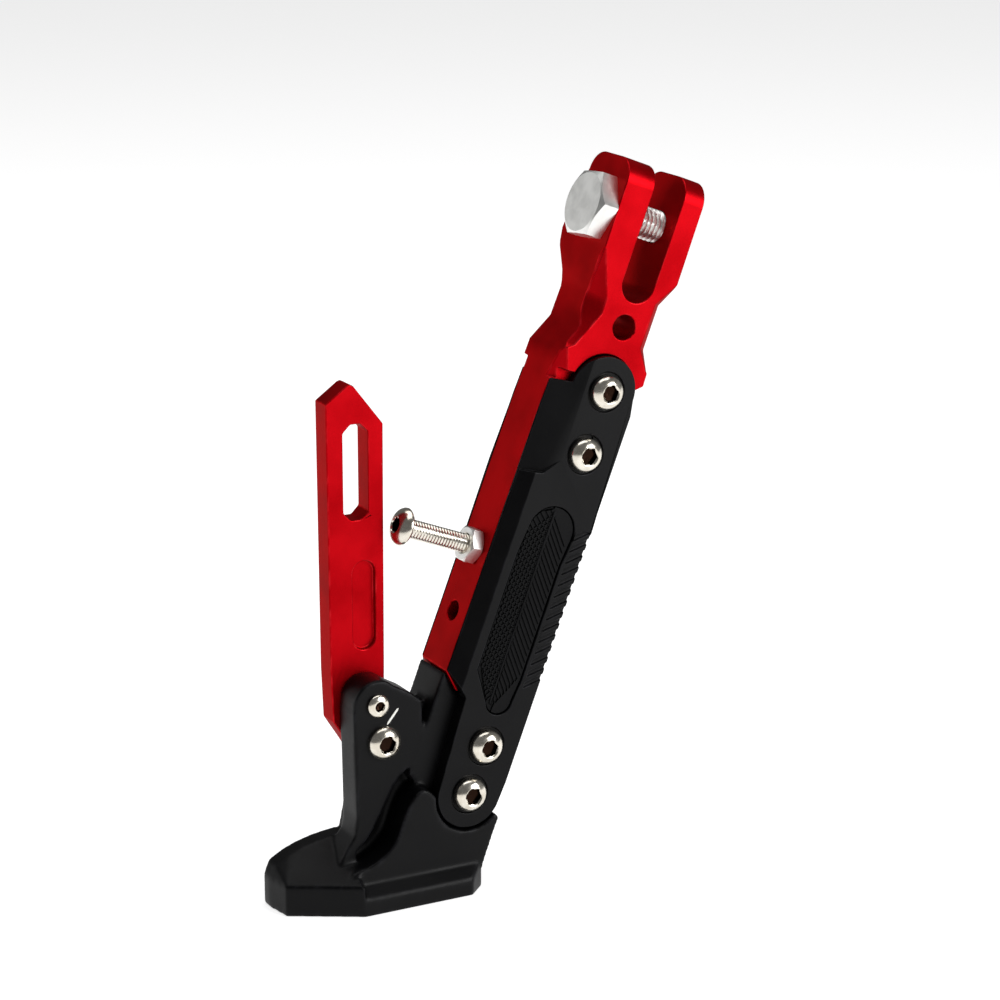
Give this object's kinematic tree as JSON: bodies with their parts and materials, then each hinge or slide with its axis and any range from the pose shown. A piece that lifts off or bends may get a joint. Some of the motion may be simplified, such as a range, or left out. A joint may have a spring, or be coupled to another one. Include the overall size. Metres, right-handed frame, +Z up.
{
  "type": "motorcycle side stand",
  "caption": "Side stand with a forked pivot head, a leg clamped between two covers, a wide flat foot, an upright slotted lever plate and a spring post.",
  "frame": {"origin": "centre of the pivot, on the bolt axis, midway across the clevis gap", "axes": "+Z up with the sole flat on level ground; the leg leans 21.2 degrees towards +X, the side of the motorcycle; -Y is the front face, the way the stand folds; the pivot axis lies in the XZ plane, square to the leg"},
  "size_m": [0.1419, 0.035, 0.2184],
  "materials": {
    "red_anodised": "satin red anodised",
    "black_anodised": "matte black anodised",
    "black_insert": "moulded, fine diagonal texture",
    "zinc_steel": "bright zinc plated",
    "screw_steel": "bright nickel plated"
  },
  "bodies": {
    "pivot": {"pivot_bolt": "zinc_steel"},
    "leg": {"upper_arm": "red_anodised", "front_cover": "black_anodised", "back_cover": "black_anodised", "front_grip_insert": "black_insert", "back_grip_insert": "black_insert", "foot": "black_anodised", "lever_plate": "red_anodised", "spring_post": "screw_steel", "spring_post_nut": "zinc_steel", "front_arm_screws": "screw_steel", "front_foot_screws": "screw_steel", "back_arm_screws": "screw_steel", "back_foot_screws": "screw_steel", "lever_screw": "screw_steel", "lever_locating_screw": "screw_steel"}
  },
  "joints": [
    {"name": "leg_fold", "type": "hinge", "parent": "pivot", "child": "leg", "pos_m": [0, 0, 0], "axis": [-0.9323, 0, 0.3616], "range_deg": [0, 95]}
  ]
}
